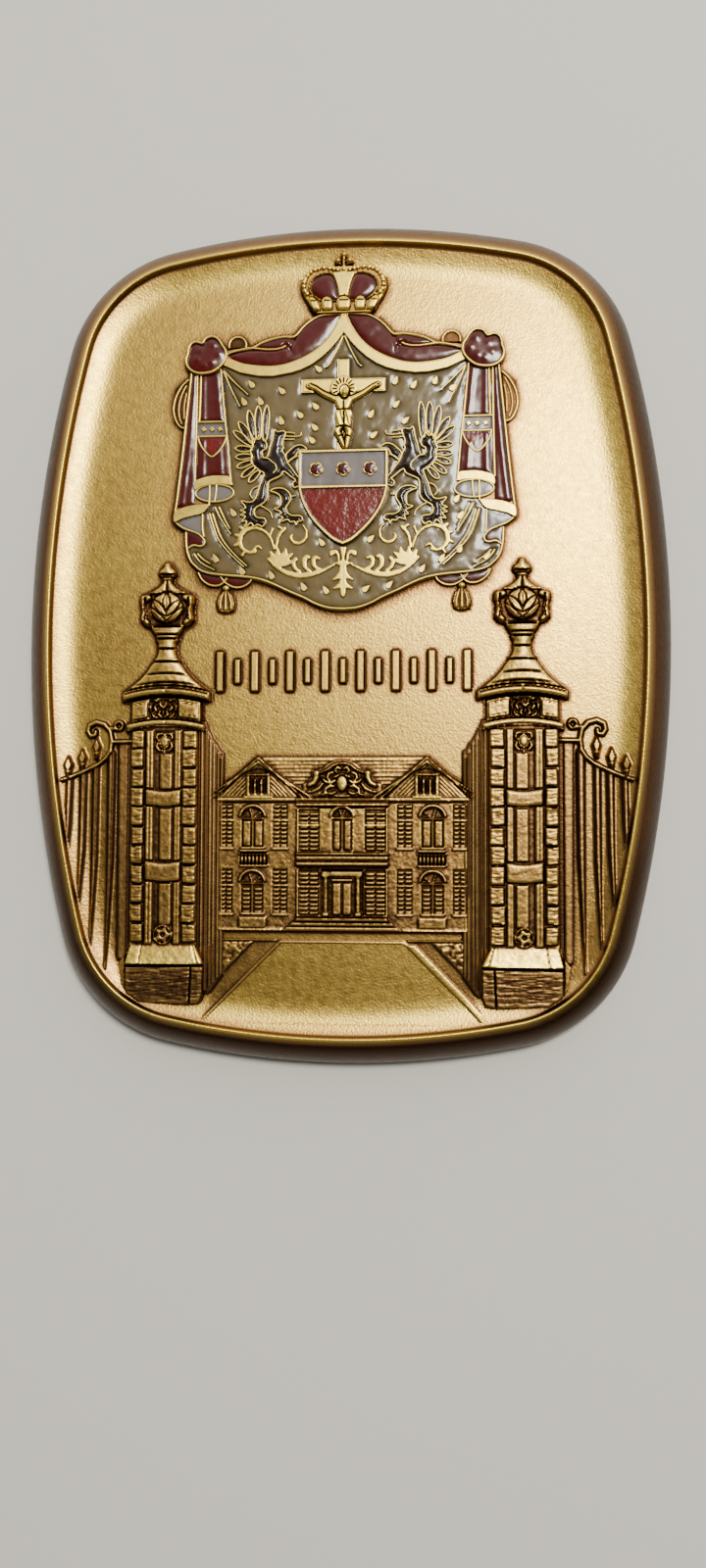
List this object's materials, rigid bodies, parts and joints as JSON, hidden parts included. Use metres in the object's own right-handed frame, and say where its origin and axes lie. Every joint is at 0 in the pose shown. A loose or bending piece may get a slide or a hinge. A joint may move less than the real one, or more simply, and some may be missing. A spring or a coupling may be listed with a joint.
{
  "type": "commemorative plaquette",
  "caption": "Struck bronze plaquette with a rounded rim, its face carrying an enamelled coat of arms above a relief of a gate and a mansion.",
  "frame": {"origin": "centre of the outline, on the plane of the flat back", "axes": "+X to the right of the design, +Y to its top, +Z out of the struck face; the plaquette lies on its back"},
  "size_m": [0.07, 0.0914, 0.005],
  "materials": {
    "bronze": "satin, sand-blasted, patinated in the recesses",
    "enamel_red": "glossy cold enamel",
    "enamel_grey": "glossy cold enamel",
    "enamel_olive": "glossy cold enamel",
    "enamel_black": "glossy cold enamel"
  },
  "bodies": {
    "root": {"crown_cap_red_left": "enamel_red", "crown_cap_red_right": "enamel_red", "curtain_edge_red_left": "enamel_red", "curtain_edge_red_right": "enamel_red", "curtain_lower_red_left": "enamel_red", "curtain_lower_red_right": "enamel_red", "curtain_upper_red_left": "enamel_red", "curtain_upper_red_right": "enamel_red", "griffin_black_left": "enamel_black", "griffin_black_right": "enamel_black", "inner_curl_grey_left": "enamel_grey", "inner_curl_grey_right": "enamel_grey", "knot_red_left": "enamel_red", "knot_red_right": "enamel_red", "mantle_lining_olive": "enamel_olive", "outer_curl_grey_left": "enamel_grey", "outer_curl_grey_right": "enamel_grey", "plaquette": "bronze", "shield_chief_grey": "enamel_grey", "shield_field_red": "enamel_red", "swag_red_left": "enamel_red", "swag_red_right": "enamel_red"}
  },
  "joints": []
}
